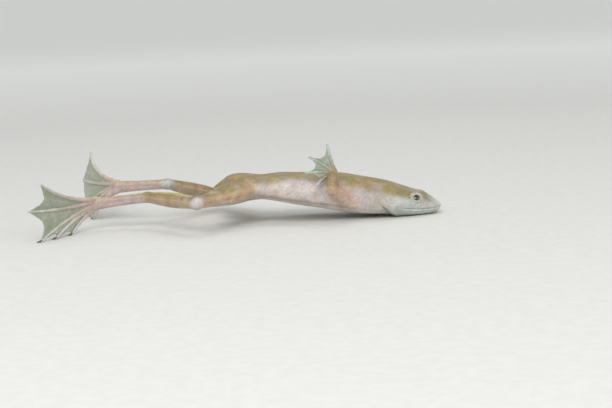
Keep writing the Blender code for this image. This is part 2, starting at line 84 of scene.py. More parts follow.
# Eyes, nostrils and mouth
EYE_CENTRE = (-7.8, 5.0, 4.95)
EYE_RADIUS = 1.75
EYE_TILT = math.radians(26)
EYE_FORWARD = math.radians(8)
PUPIL_BACK = math.radians(7)  # turn of the pupil back and up from the lids' middle
LID_THICKNESS = 0.3
LID_BLEND = 0.9
LID_OPENING = 0.94
OPENING_BLEND = 0.2
OPENING_FLOOR = 0.5  # from the eyeball's middle
LID_BASE = 0.4
PUPIL_RADIUS = 0.74
IRIS_RADIUS = 1.02
CORNEA_RISE = 0.045  # share of the eyeball's radius
CORNEA_SPREAD = 0.62
NOSTRIL_CENTRE = (-2.35, 1.75, 4.55)
CHEEK_CENTRE = (-11.6, 7.0, 3.9)
CHEEK_REACH = (3.2, 2.2, 1.9)
CHEEK_HEIGHT = 0.28
MOUTH_LENGTH = 12.6
MOUTH_HEIGHT = 1.95
MOUTH_RISE = 1.1
MOUTH_FADE = 1.8
THROAT_FOLD = 14.6  # behind the snout at the floor
THROAT_FOLD_SLOPE = 0.9
THROAT_FOLD_TOP = (2.6, 5.2)  # heights between which it fades

# Ridges of the skin: place, height and half width, with a negative height for a groove
LID_RIDGES = ((0.30, 0.16, 0.26), (0.85, -0.10, 0.22))
NOSTRIL_RIDGES = ((0.0, -0.55, 0.3), (0.55, 0.14, 0.25))
MOUTH_RIDGES = ((0.0, -0.30, 0.17), (0.55, 0.09, 0.3), (-0.5, 0.06, 0.3))
THROAT_RIDGES = ((0.0, -0.34, 0.42), (-1.2, 0.16, 0.8))
FLANK_RIDGES = ((0.0, -0.17, 0.32), (0.8, 0.07, 0.5))
WRINKLE_RIDGES = tuple((30.5 + 1.7 * number, -0.07, 0.28) for number in range(4))
PELVIS_RIDGES = ((3.4, 0.30, 1.1),)
SPINE_RIDGES = ((0.0, -0.14, 0.9),)
VENT_RIDGES = ((0.0, 0.25, 0.9),)
FOLD_LEVEL = 0.2  # the flank's fold, as a share of the body's height
WRINKLE_SLOPE = 0.35
# Where ridges start and end, with their soft ends: behind the snout or by height
FLANK_SPAN = (26, 54, 3)
PELVIS_SPAN = (45, 62, 3)
SPINE_SPAN = (22, 58, 5)
WRINKLE_LEVELS = (0.22, 0.58, 0.12)
BACK_LEVELS = (0.6, 0.85)

SIDES = {"right": -1, "left": 1}  # which way each side lies along y

# Joints: x, y, z
SHOULDERS = {"right": (-27.3, -7.2, 6.2), "left": (-26.8, 7.0, 6.4)}
ELBOWS = {"right": (-32.7, -16.0, 10.4), "left": (-24.6, 15.4, 4.9)}
WRISTS = {"right": (-32.35, -11.4, 14.9), "left": (-18.4, 15.6, 1.75)}
HIPS = {"right": (-57.0, -2.6, 10.1), "left": (-57.2, 2.6, 9.7)}
KNEES = {"right": (-71.8, -24.0, 9.5), "left": (-67.3, 28.0, 4.3)}
ANKLES = {"right": (-87.7, -4.8, 9.3), "left": (-82.7, 9.0, 11.3)}
FOOT_ROOTS = {"right": (-103.4, -3.6, 7.9), "left": (-98.4, 10.5, 10.9)}

# Limb profiles: place along the limb from 0 to 1, half width, half height
UPPER_ARM = ((0.0, 2.3, 2.5), (0.45, 1.9, 2.0), (0.8, 1.55, 1.6), (1.0, 1.5, 1.5))
FOREARM = ((0.0, 1.45, 1.45), (0.3, 1.85, 1.6), (0.65, 1.65, 1.4), (1.0, 1.35, 1.2))
THIGH = ((0.0, 4.5, 3.1), (0.35, 4.4, 3.2), (0.6, 3.6, 2.7), (0.85, 2.4, 2.0),
         (1.0, 2.05, 1.85))
SHANK = ((0.0, 2.0, 1.8), (0.2, 2.35, 2.0), (0.45, 2.55, 2.2), (0.75, 2.0, 1.95),
         (1.0, 1.6, 1.55))
TARSUS = ((0.0, 1.55, 1.55), (0.3, 1.4, 1.5), (0.65, 1.35, 1.6), (1.0, 1.3, 1.9))
# Furrows between muscles or bones: height on the limb's sides, depth, half width, from, to
FURROWS = {"thigh": ((-0.7, 0.16, 0.45, 0.35, 0.92), (1.2, 0.10, 0.40, 0.45, 0.95)),
           "shank": ((0.55, 0.16, 0.38, 0.12, 0.80),),
           "tarsus": ((0.05, 0.13, 0.36, 0.08, 0.90),),
           "forearm": ((0.3, 0.10, 0.30, 0.15, 0.85),)}

# Digits: tip, and how far the digit bows out of the straight line
TOE_TIPS = {
    "right": (((-116.2, -23.6, 16.7), 1.2), ((-119.8, -25.8, 9.4), 1.4),
              ((-117.2, -23.4, 0.2), 1.3), ((-113.6, -18.8, 0.2), 0.9),
              ((-109.9, -12.6, 0.2), 0.6)),
    "left": (((-109.0, 33.4, 19.6), 1.2), ((-112.4, 37.0, 10.6), 1.4),
             ((-111.2, 30.6, 0.2), 1.3), ((-109.4, 24.4, 0.2), 0.9),
             ((-107.2, 18.0, 0.2), 0.6)),
}
FINGER_TIPS = {
    "right": (((-33.6, -11.6, 23.4), 0.5), ((-39.0, -11.6, 19.9), 0.5),
              ((-40.4, -11.9, 15.2), 0.4), ((-37.1, -12.4, 11.6), 0.3)),
    "left": (((-8.8, 13.0, 0.2), 0.9), ((-8.3, 17.2, 0.2), 1.0),
             ((-10.2, 21.0, 0.2), 0.9), ((-14.6, 22.4, 0.2), 0.6)),
}
FOOT = {"root_wide": 2.1, "root_thick": 1.05, "palm_reach": 0.36, "digit": 0.74,
        "tip_share": 0.5, "onward": 0.6, "web_reach": 0.88, "web_curve": 2, "blend": 0.5}
HAND = {"root_wide": 1.3, "root_thick": 1.0, "palm_reach": 0.36, "digit": 0.56,
        "tip_share": 0.6, "onward": 0.3, "web_reach": 0.72, "web_curve": 3, "blend": 0.45}
DIGIT_START = 0.8
BEND_PLACE = 0.45
DIGIT_PIECES = 14
KNUCKLES = (0.42, 0.64, 0.82)
KNUCKLE_SWELL = 0.16
KNUCKLE_LENGTH = 0.035
PALM_FADE = 0.8
PALM_EDGE = 0.9
PALM_BLEND = 0.15

# Webs and claws
WEB_HALF_THICK = 0.10
WEB_THINNEST = 0.055
WEB_SAG = 0.5
WEB_PLEATS = 3
WEB_PLEAT_DEPTH = 0.10
WEB_LOWEST = 0.02
WEB_START = 0.06  # share of the digits' length
WEB_END = 0.985
WEB_HEM = 0.03  # how much thicker the free edge is
CLAWED_TOES = (2, 3, 4)
CLAW_LENGTH = 1.85
CLAW_RADIUS = 0.33
CLAW_DROOP = 0.2
CLAW_LIFT = 0.25
CLAW_BURIED = 0.35
CLAW_NARROWING = 0.35
CLAW_POINT = 0.012

# Stitches of the lateral line: rows along the body as from, to, level, length
STITCH_ROWS = ((12.0, 57.0, 0.74, 1.15), (19.0, 52.0, 0.46, 0.9), (18.0, 50.0, 0.15, 0.8))
STITCH_SPACING = 2.3
STITCH_HALF_WIDE = 0.12
STITCH_HEIGHT = 0.10
EYE_STITCHES = 15
EYE_STITCH_LENGTH = 1.1
FLANK_STITCH_SHADE = 1.2  # brightness beside the skin round them
EYE_STITCH_DARK = 0.5  # above the rear of the eye
EYE_STITCH_FAINT = 0.85
EYE_STITCH_RADIUS = 2.6
EYE_STITCH_FORWARD = 1.2  # out of the eye's middle, along its gaze

# Camera: the photograph's own view
PHOTO_WIDTH_PIXELS = 612
PHOTO_MM_PER_PIXEL = 0.302
CAMERA_DISTANCE = 480.0
CAMERA_ELEVATION = math.radians(8)
CAMERA_ROLL = math.radians(2.6)
VIEW_CENTRE = (-40.6, 0.0, 4.42)
SENSOR = 36

# Stage, in metres: a flat round floor, then a sweep up into the backdrop
FLOOR_RADII = (0.02, 0.8, 1.6)
SWEEP_RADIUS = 1.4
SWEEP_STEPS = 12
SWEEP_STEP = math.radians(6.5)
STAGE_SIDES = 96
WORLD_COLOUR = (0.93, 0.95, 0.95)
WORLD_STRENGTH = 0.72
LIGHTS = (("key", (-0.15, -0.62, 0.52), 0.5, 4.2, (1.0, 0.98, 0.95)),
          ("fill", (0.6, -0.6, 0.3), 0.6, 1.9, (0.94, 0.98, 1.0)),
          ("rim", (0.05, 0.4, 1.1), 0.6, 2.2, (1.0, 1.0, 1.0)))

# Skin colours as 0 to 255 screen values
HEAD_TOP = (134, 128, 96)
BACK_OLIVE = (136, 122, 76)
HIP_BACK = (138, 121, 82)
FACE = (180, 186, 182)
NECK_LILAC = (185, 178, 178)
FLANK = (191, 182, 179)
HIP_LILAC = (176, 169, 167)
HIP_TAN = (184, 162, 134)
JAW = (198, 210, 202)
BELLY = (222, 217, 210)
# Painted shade for the creases of the flank's fold and the throat's fold
FOLD_PAINTED_SHADE = (158, 142, 112)
LID_PALE = (186, 198, 194)
AXILLA_PINK = (204, 154, 134)
KNEE_WHITE = (206, 199, 208)
HEEL_BLUE = (180, 194, 194)
STREAK_PINK = (150, 112, 122)
TENDON_GOLD = (178, 163, 86)
VEIN_PURPLE = (146, 104, 122)
MOTTLE_LILAC = (184, 170, 184)
MOTTLE_OLIVE = (160, 148, 112)
MOTTLE_PINK = (208, 164, 150)
SPECK_GOLD = (196, 172, 110)
# How far the body's and a limb's colours run into each other, and the painted shade of a fold
# reaches
BODY_TONE_REACH = 0.55
LIMB_TONE_REACH = 0.4
FOLD_SHADE_REACH = 0.5
FOLD_SHADE_SPAN = (27, 54, 3)
# Body colours at distances behind the snout, along its side, underside and back
SIDE_TONES = ((0, FACE), (13, FACE), (19, NECK_LILAC), (27, NECK_LILAC), (36, FLANK),
              (49, FLANK), (54, HIP_LILAC), (61, HIP_TAN))
UNDERSIDE_TONES = ((0, JAW), (14, JAW), (24, BELLY))
BACK_TONES = ((0, FACE), (5, HEAD_TOP), (16, BACK_OLIVE), (45, BACK_OLIVE), (58, HIP_BACK))
# Where the underside's and the back's colours end, as shares of the body's height
UNDERSIDE_EDGE = (0.05, 0.36)
BACK_EDGE = 0.69
BACK_EDGE_RISE = (0.19, 42, 13)  # over the flank: height, middle, half length
# Soft spots: offset from the joint, reach along each axis, where they fade
KNEE_SPOT = ((-0.1, 1.4, 0.15), (1.25, 1.3, 1.0), (0.7, 2.35))
KNEE_SLANT = 0.5
HEEL_SPOT = ((0.4, -1.2, 0.35), (2.0, 1.3, 0.8), (0.4, 2.0))
HEEL_STRENGTH = {"right": 0.25, "left": 0.85}
LID_SPOT_FADE = (1.7, 2.9)
ARMPIT = (-28.6, 9.6, 5.6)
ARMPIT_REACH = (4.2, 4, 2.6)
# Mottling: texture scale, detail, where it starts and is full, tone, strength
MOTTLES = ((150, 3.0, 0.53, 0.70, MOTTLE_OLIVE, 0.30), (190, 4.0, 0.52, 0.70, MOTTLE_LILAC, 0.45),
           (260, 5.0, 0.56, 0.72, MOTTLE_PINK, 0.30), (700, 3.0, 0.60, 0.72, SPECK_GOLD, 0.30))
# Each limb's top, middle and underside
LIMB_TONES = {
    "upper_arm": ((178, 146, 120), (196, 162, 142), (208, 184, 166)),
    "forearm": ((134, 118, 84), (158, 138, 108), (184, 166, 146)),
    "thigh": ((134, 118, 76), (184, 160, 130), (198, 182, 164)),
    "shank": ((124, 110, 62), (174, 151, 124), (184, 170, 148)),
    "tarsus": ((166, 152, 122), (184, 164, 162), (194, 182, 178)),
}
# Each hand or foot at its root, along its digits and at their tips
FAN_TONES = {
    "hand": ((154, 142, 116), (152, 162, 154), (170, 188, 190)),
    "foot": ((188, 168, 160), (186, 176, 166), (194, 198, 192)),
}
# The lowest finger's own tan mixed with painted shade, where it lies in shade beside the forearm
FOURTH_FINGER_TAN_AND_SHADE = (146, 122, 92)
WEB_TONE = (144, 154, 130)
WEB_VEIN = (164, 166, 150)


def linear(colour):
    """A 0 to 255 screen colour as the linear values that the shaders take."""
    share = np.asarray(colour, float) / 255
    return np.where(share <= 0.04045, share / 12.92, ((share + 0.055) / 1.055) ** 2.4)


def vec(point):
    return np.array(point, float)


def place(points):
    """Layout points in mm as frame points in metres."""
    return np.asarray(points) * MM + SNOUT


def unit(vector):
    return vec(vector) / np.linalg.norm(vector)


def mirrored(point, side):
    return vec(point) * (1, side, 1)


def smooth_table(stations, samples=400):
    """The columns of a station table, read off smooth curves at many even places."""
    keys, values = np.array(stations)[:, 0], np.array(stations)[:, 1:]
    index = np.arange(len(keys))
    low, high = np.maximum(index - 1, 0), np.minimum(index + 1, len(keys) - 1)
    slopes = (values[high] - values[low]) / (keys[high] - keys[low])[:, None]
    where = np.linspace(keys[0], keys[-1], samples)
    index = np.clip(np.searchsorted(keys, where) - 1, 0, len(keys) - 2)
    gap = (keys[index + 1] - keys[index])[:, None]
    t = ((where - keys[index]) / gap[:, 0])[:, None]
    curve = ((2 * t ** 3 - 3 * t ** 2 + 1) * values[index]
             + (t ** 3 - 2 * t ** 2 + t) * gap * slopes[index]
             + (3 * t ** 2 - 2 * t ** 3) * values[index + 1]
             + (t ** 3 - t ** 2) * gap * slopes[index + 1])
    return where, curve


def smooth_min(a, b, reach):
    h = np.clip(0.5 + 0.5 * (b - a) / reach, 0.0, 1.0)
    return b + (a - b) * h - reach * h * (1 - h)


def smooth_max(a, b, reach):
    return -smooth_min(-a, -b, reach)


def smooth_step(low, high, value):
    t = np.clip((value - low) / (high - low), 0.0, 1.0)
    return t * t * (3 - 2 * t)


def window(value, low, high, soft):
    """1 between low and high, fading to 0 over a soft edge on both sides."""
    rising = smooth_step(low - soft, low + soft, value)
    return rising * (1 - smooth_step(high - soft, high + soft, value))


def bump(distance, width):
    return np.exp(-(distance / width) ** 2)


def ridges(distance, rows):
    """The height of ridges and grooves, for distances across them."""
    return sum(height * bump(distance - at, width) for at, height, width in rows)


BODY_WHERE, BODY_CURVE = smooth_table(BODY_STATIONS)


def body_section(behind):
    """Underside, back and half width at distances behind the snout."""
    return [np.interp(behind, BODY_WHERE, column) for column in BODY_CURVE.T]


def body_place(p):
    """Distance behind the snout, share of the body's height, height over the flank's fold."""
    behind = -p[:, 0]
    bottom, top = body_section(behind)[:2]
    level = np.clip((p[:, 2] - bottom) / np.maximum(top - bottom, 0.5), 0, 1)
    return behind, level, p[:, 2] - bottom - FOLD_LEVEL * (top - bottom)


def throat_place(p):
    """Distance behind the throat's fold, and how much of the fold is left at this height."""
    behind_fold = -p[:, 0] - THROAT_FOLD - THROAT_FOLD_SLOPE * p[:, 2]
    return behind_fold, 1 - smooth_step(*THROAT_FOLD_TOP, p[:, 2])


def body_field(p):
    behind = -p[:, 0]
    bottom, top, half_width = body_section(behind)
    middle = bottom + WIDEST_LEVEL * (top - bottom)
    height = p[:, 2] - middle
    half_height = np.where(height > 0, top - middle, middle - bottom)
    n = BODY_SQUARENESS
    across = np.abs(p[:, 1]) / half_width
    upward = np.abs(height) / half_height
    q = (across ** n + upward ** n) ** (1 / n) + 1e-6
    slope = np.sqrt((across ** (n - 1) / half_width) ** 2
                    + (upward ** (n - 1) / half_height) ** 2) * q ** (1 - n) + 1e-6
    distance = (q - 1) / slope
    distance = np.minimum(distance, q * np.maximum(half_width, half_height))
    past = np.maximum(-behind, behind - BODY_STATIONS[-1][0])
    return np.where(past > 0, np.hypot(np.maximum(distance, 0), past), distance)


def axes_across(direction, up=(0, 0, 1)):
    side = unit(np.cross(direction, up))
    return side, np.cross(side, direction)


class Shape:
    """A limb or digit whose field is only read near its box."""

    def limit(self, points, widest):
        self.low = np.min(points, axis=0) - widest - MARGIN
        self.high = np.max(points, axis=0) + widest + MARGIN

    def near(self, p):
        return np.all((p >= self.low) & (p <= self.high), axis=1)

    def field(self, p):
        near = self.near(p)
        out = np.full(len(p), FAR)
        if near.any():
            out[near] = self.distance(p[near])
        return out


class Limb(Shape):
    """One tapered limb segment with rounded ends and furrows along its sides."""

    def __init__(self, name, start, end, profile, blend):
        self.name, self.blend = name, blend
        self.start, self.end = vec(start), vec(end)
        self.length = np.linalg.norm(self.end - self.start)
        self.direction = (self.end - self.start) / self.length
        self.side, self.up = axes_across(self.direction)
        self.where, self.curve = smooth_table(profile, 100)
        self.limit((self.start, self.end), np.max(np.array(profile)[:, 1:]))

    def local(self, p):
        """Place along the limb, sideways and upward offsets, half width and half height."""
        offset = p - self.start
        share = offset @ self.direction / self.length
        inside = np.clip(share, 0, 1)
        return (share, offset @ self.side, offset @ self.up,
                np.interp(inside, self.where, self.curve[:, 0]),
                np.interp(inside, self.where, self.curve[:, 1]))

    def distance(self, p):
        share, a, b, half_wide, half_high = self.local(p)
        beyond = (share - np.clip(share, 0, 1)) * self.length
        reach = np.sqrt(a * a + b * b + beyond * beyond) + 1e-6
        q = np.sqrt((a / half_wide) ** 2 + (b / half_high) ** 2
                    + (2 * beyond / (half_wide + half_high)) ** 2) + 1e-6
        f = reach * (1 - 1 / q)
        for height, depth, width, begin, end in FURROWS.get(self.name, ()):
            f = f + depth * bump(b - height, width) * window(share, begin, end, 0.08)
        return f


def middle_tip(tips):
    return np.mean([vec(row[0]) for row in tips], axis=0)


def joint_normal(before, joint, after):
    return unit(unit(vec(joint) - vec(before)) + unit(vec(after) - vec(joint)))


class Fan:
    """The digits of a hand or foot, spread from one root."""

    def __init__(self, name, before, root, tips, sizes):
        self.name = name
        self.root = vec(root)
        self.tips = tips
        self.sizes = sizes
        self.count = len(tips)
        self.facing = joint_normal(before, root, middle_tip(tips))
        spread = vec(tips[0][0]) - vec(tips[-1][0])
        self.across = unit(spread - self.facing * spread.dot(self.facing))
        self.back = np.cross(self.facing, self.across)
        self.digits = [Digit(self, index) for index in range(self.count)]

    def path(self, index, share):
        """Points along a digit's middle line, for an array of shares of its length."""
        share = np.asarray(share, float)[..., None]
        side = 1 - 2 * index / (self.count - 1)
        start = self.root + self.across * (side * self.sizes["root_wide"] * DIGIT_START)
        tip, bow = self.tips[index]
        end = vec(tip)
        straight = start + (end - start) * BEND_PLACE
        onward = start + self.facing * (np.linalg.norm(end - start) * BEND_PLACE)
        bend = straight + (onward - straight) * self.sizes["onward"] - self.back * bow
        return start * (1 - share) ** 2 + bend * (2 * share * (1 - share)) + end * share ** 2

    def radius(self, index, share):
        sizes = self.sizes
        digit = sizes["digit"] * (1 + (sizes["tip_share"] - 1) * share)
        for knuckle in KNUCKLES:
            digit = digit * (1 + KNUCKLE_SWELL * bump(share - knuckle, KNUCKLE_LENGTH))
        edge = abs(1 - 2 * index / (self.count - 1))
        fade = np.maximum(1 - share / sizes["palm_reach"], 0.0) ** PALM_FADE
        palm = sizes["root_thick"] * fade * math.sqrt(1 - (edge * PALM_EDGE) ** 2)
        return smooth_max(digit, palm, PALM_BLEND)


class Digit(Shape):
    """One finger or toe as a tube along its path."""

    def __init__(self, fan, index):
        self.name, self.index, self.blend = fan.name, index, fan.sizes["blend"]
        self.shares = np.linspace(0, 1, DIGIT_PIECES * 2 + 1)
        self.points = fan.path(index, self.shares)
        self.radii = fan.radius(index, self.shares)
        self.limit(self.points, self.radii.max())

    def nearest(self, p):
        """Distance from the tube and the share of the digit's length where it is least."""
        best = np.full(len(p), FAR)
        share = np.zeros(len(p))
        for i in range(len(self.shares) - 1):
            step = self.points[i + 1] - self.points[i]
            t = np.clip(((p - self.points[i]) @ step) / (step @ step), 0, 1)
            gap = np.linalg.norm(p - self.points[i] - t[:, None] * step, axis=1)
            gap = gap - self.radii[i] - (self.radii[i + 1] - self.radii[i]) * t
            closer = gap < best
            best = np.where(closer, gap, best)
            share = np.where(closer, self.shares[i] + t * self.shares[1], share)
        return best, share

    def distance(self, p):
        return self.nearest(p)[0]


def build_shapes():
    """Every limb and digit in the order in which they are blended, and the fans."""
    shapes, fans = [], {}
    for side in SIDES:
        shoulder, elbow, wrist = SHOULDERS[side], ELBOWS[side], WRISTS[side]
        hip, knee, ankle, root = HIPS[side], KNEES[side], ANKLES[side], FOOT_ROOTS[side]
        hand = Fan("hand", elbow, wrist, FINGER_TIPS[side], HAND)
        foot = Fan("foot", ankle, root, TOE_TIPS[side], FOOT)
        shapes.append(Limb("upper_arm", shoulder, elbow, UPPER_ARM, 1.0))
        shapes.append(Limb("forearm", elbow, wrist, FOREARM, 0.5))
        shapes += hand.digits
        shapes.append(Limb("thigh", hip, knee, THIGH, 1.5))
        shapes.append(Limb("shank", knee, ankle, SHANK, 0.8))
        shapes.append(Limb("tarsus", ankle, root, TARSUS, 0.7))
        shapes += foot.digits
        fans["hand_" + side] = hand
        fans["foot_" + side] = foot
    return shapes, fans


SHAPES, FANS = build_shapes()


def gaze(side, back=0.0):
    """The way an eye looks; its pupil sits turned a little back and up from the lids."""
    forward, tilt = EYE_FORWARD - back, EYE_TILT + back / 2
    return unit((math.sin(forward), side * math.cos(tilt), math.sin(tilt)))


def mouth_level(behind):
    share = np.clip(behind, 0, MOUTH_LENGTH) / MOUTH_LENGTH
    return MOUTH_HEIGHT + MOUTH_RISE * share ** 3


def head_details(p, f):
    """Lids, nostrils, jaw and the line of the mouth, worked into the head's field."""
    near = p[:, 0] > -HEAD_LENGTH
    q, g = p[near], f[near]
    for side in SIDES.values():
        offset = q - mirrored(EYE_CENTRE, side)
        distance = np.linalg.norm(offset, axis=1)
        g = smooth_min(g, distance - EYE_RADIUS - LID_THICKNESS, LID_BLEND)
        along = offset @ gaze(side)
        off_axis = np.sqrt(np.maximum(distance ** 2 - along ** 2, 0))
        g = g - ridges(off_axis - LID_OPENING, LID_RIDGES) * (along > LID_BASE)
        opening = np.maximum(off_axis - LID_OPENING, OPENING_FLOOR - along)
        g = smooth_max(g, -opening, OPENING_BLEND)
        gap = np.linalg.norm(q - mirrored(NOSTRIL_CENTRE, side), axis=1)
        g = g - ridges(gap, NOSTRIL_RIDGES)
        cheek = np.linalg.norm((q - mirrored(CHEEK_CENTRE, side)) / CHEEK_REACH, axis=1)
        g = g - CHEEK_HEIGHT * bump(cheek, 1.0)
    behind = -q[:, 0]
    fade = 1 - smooth_step(MOUTH_LENGTH - MOUTH_FADE, MOUTH_LENGTH, behind)
    g = g - fade * ridges(q[:, 2] - mouth_level(behind), MOUTH_RIDGES)
    behind_fold, strength = throat_place(q)
    g = g - strength * ridges(behind_fold, THROAT_RIDGES)
    f[near] = g
    return f


def torso_details(p, f):
    """Folds along the flank, wrinkles behind the arm and the ridges over the pelvis."""
    near = (p[:, 0] < -NECK_PLACE) & (np.abs(f) < DETAIL_REACH)
    q = p[near]
    behind, level, fold = body_place(q)
    rise = window(behind, *FLANK_SPAN) * ridges(fold, FLANK_RIDGES)
    wrinkled = window(level, *WRINKLE_LEVELS)
    rise = rise + wrinkled * ridges(behind - WRINKLE_SLOPE * q[:, 2], WRINKLE_RIDGES)
    across = np.abs(q[:, 1])
    back = smooth_step(*BACK_LEVELS, level)
    rise = rise + back * window(behind, *PELVIS_SPAN) * ridges(across, PELVIS_RIDGES)
    rise = rise + back * window(behind, *SPINE_SPAN) * ridges(across, SPINE_RIDGES)
    rise = rise + ridges(np.linalg.norm(q - vec(VENT), axis=1), VENT_RIDGES)
    f[near] -= rise
    return f


def skin_field(p):
    """The distance from the frog's skin, in mm, negative inside."""
    f = torso_details(p, head_details(p, body_field(p)))
    for shape in SHAPES:
        f = smooth_min(f, shape.field(p), shape.blend)
    return smooth_max(f, -p[:, 2], FLOOR_BLEND)


def grid_of(counts):
    return np.stack(np.indices(counts), -1).reshape(-1, 3)


def in_parts(function, points, size=400000):
    return np.concatenate([function(points[i:i + size]) for i in range(0, len(points), size)])


def field_values(low, counts):
    """The field on a grid. A block that the skin can't reach keeps the value of its middle."""
    first = BLOCKS[0]
    blocks = -(-np.array(counts) // first)
    values = np.empty(blocks * first, np.float32)
    corners = grid_of(blocks) * first
    for size, inner in zip(BLOCKS, BLOCKS[1:] + (1,)):
        found = in_parts(skin_field, low + (corners + size / 2) * STEP)
        near = np.abs(found) < size * STEP * math.sqrt(3) / 2 * BLOCK_SAFETY
        for (i, j, k), value in zip(corners[~near], found[~near]):
            values[i:i + size, j:j + size, k:k + size] = value
        corners = corners[near][:, None, :] + grid_of([size // inner] * 3)[None] * inner
        corners = corners.reshape(-1, 3)
    values[tuple(corners.T)] = in_parts(skin_field, low + corners * STEP)
    return values


def surface_net(values, low):
    """Points and quads of the zero surface of a grid of values."""
    inside = values < 0
    corners, steps = grid_of([2] * 3), np.eye(3, dtype=int)
    total = np.zeros([n - 1 for n in values.shape], np.int8)
    for corner in corners:
        total += inside[tuple(slice(k, n - 1 + k) for k, n in zip(corner, values.shape))]
    cells = (total > 0) & (total < 8)
    places = np.argwhere(cells)
    number = np.full(cells.shape, -1, np.int32)
    number[cells] = np.arange(len(places))
    summed = np.zeros((len(places), 3))
    crossings = np.zeros(len(places))
    for axis in range(3):
        for first in corners[corners[:, axis] == 0]:
            a = values[tuple((places + first).T)]
            b = values[tuple((places + first + steps[axis]).T)]
            crossed = (a < 0) != (b < 0)
            t = np.where(crossed, a / np.where(crossed, a - b, 1), 0)
            summed += (first + t[:, None] * steps[axis]) * crossed[:, None]
            crossings += crossed
    quads = []
    for axis in range(3):
        u, v = steps[(axis + 1) % 3], steps[(axis + 2) % 3]
        edges = np.argwhere(np.diff(inside, axis=axis))
        around = (edges - u - v, edges - v, edges, edges - u)
        quad = np.stack([number[tuple(cell.T)] for cell in around], 1)
        entering = ~inside[tuple(edges.T)]
        quad[entering] = quad[entering][:, ::-1]
        quads.append(quad)
    return low + (places + summed / crossings[:, None]) * STEP, np.concatenate(quads)


def field_slope(points, gap=0.06):
    changes = [skin_field(points + step) - skin_field(points - step) for step in np.eye(3) * gap]
    return np.stack(changes, 1) / (2 * gap)


def way_to_skin(points):
    slope = field_slope(points)
    size = np.maximum((slope ** 2).sum(1), 0.2)
    return -slope * (skin_field(points) / size)[:, None]


def pull_onto_skin(points):
    move = way_to_skin(points)
    length = np.linalg.norm(move, axis=1)
    return points + move * np.minimum(1, PULL_LIMIT * STEP / np.maximum(length, 1e-9))[:, None]


def relax(points, quads):
    """Moves each point half way to the mean of its neighbours."""
    edges = np.concatenate([quads[:, [i, (i + 1) % 4]] for i in range(4)])
    a, b = np.concatenate([edges, edges[:, ::-1]]).T
    count = np.bincount(a, minlength=len(points))
    mean = np.stack([np.bincount(a, points[b, axis], len(points)) for axis in range(3)], 1)
    return (points + mean / count[:, None]) / 2


def largest_surface(points, quads):
    """Drops everything but the largest connected surface."""
    label = np.arange(len(points))
    while True:
        lowest = label[quads].min(axis=1)
        new = label.copy()
        for corner in range(4):
            np.minimum.at(new, quads[:, corner], lowest)
        new = new[new]
        if np.array_equal(new, label):
            break
        label = new
    winner = np.bincount(label[quads[:, 0]]).argmax()
    kept = label == winner
    number = np.cumsum(kept) - 1
    return points[kept], number[quads[kept[quads[:, 0]]]]


def new_object(name, data):
    obj = bpy.data.objects.new(name, data)
    bpy.context.scene.collection.objects.link(obj)
    return obj


def mesh_object(name, points, faces):
    """A smooth shaded object from points in metres and faces."""
    mesh = bpy.data.meshes.new(name)
    mesh.from_pydata(points.tolist(), [], [list(face) for face in faces])
    mesh.update()
    mesh.shade_smooth()
    return new_object(name, mesh)


def mesh_from(name, points, faces):
    """The same from layout points in mm."""
    return mesh_object(name, place(points), faces)


def set_layer(obj, name, values):
    """Keeps a value or a colour for every point of a mesh."""
    values = np.asarray(values, np.float32)
    if values.ndim == 1:
        layer = obj.data.attributes.new(name, "FLOAT", "POINT")
        layer.data.foreach_set("value", values)
        return
    layer = obj.data.color_attributes.new(name, "FLOAT_COLOR", "POINT")
    layer.data.foreach_set("color", np.insert(values, 3, 1, axis=1).ravel())


def blended(colours, others, share):
    return colours + (others - colours) * np.clip(share, 0, 1)[:, None]


def tint(colours, tone, share):
    """Colours mixed with a screen colour by a share for each point."""
    return blended(colours, linear(tone), share)


def spot(colours, offset, reach, fade, tone, strength):
    """Colours with a soft spot of a tone, for offsets from the spot's middle."""
    gap = np.linalg.norm(offset / np.array(reach), axis=1)
    return tint(colours, tone, strength * (1 - smooth_step(*fade, gap)))


def tone_along(value, *stops):
    """A colour for each value, read between stops of a place and a screen colour."""
    places, tones = zip(*stops)
    return np.stack([np.interp(value, places, channel) for channel in linear(tones).T], 1)


def body_tones(points):
    behind, level, fold = body_place(points)
    colours = tone_along(behind, *SIDE_TONES)
    low = 1 - smooth_step(*UNDERSIDE_EDGE, level)
    colours = blended(colours, tone_along(behind, *UNDERSIDE_TONES), low)
    rise, middle, half_length = BACK_EDGE_RISE
    edge = BACK_EDGE + rise * bump(behind - middle, half_length)
    high = smooth_step(edge - 0.15, edge + 0.13, level) * smooth_step(0, 4, behind)
    colours = blended(colours, tone_along(behind, *BACK_TONES), high)
    # Painted shade: the skin is darkened along the flank's fold and behind the throat's fold,
    # where the creases lie in shade
    shaded = window(behind, *FOLD_SHADE_SPAN) * bump(fold, FOLD_SHADE_REACH)
    colours = tint(colours, FOLD_PAINTED_SHADE, 0.4 * shaded)
    behind_fold, strength = throat_place(points)
    shaded = strength * bump(behind_fold, FOLD_SHADE_REACH)
    colours = tint(colours, FOLD_PAINTED_SHADE, 0.55 * shaded)
    for side in SIDES.values():
        offset = points - mirrored(EYE_CENTRE, side)
        colours = spot(colours, offset, 1.0, LID_SPOT_FADE, LID_PALE, 0.85)
        armpit = np.linalg.norm((points - mirrored(ARMPIT, side)) / ARMPIT_REACH, axis=1)
        colours = tint(colours, AXILLA_PINK, 0.55 * bump(armpit, 0.85))
    return colours


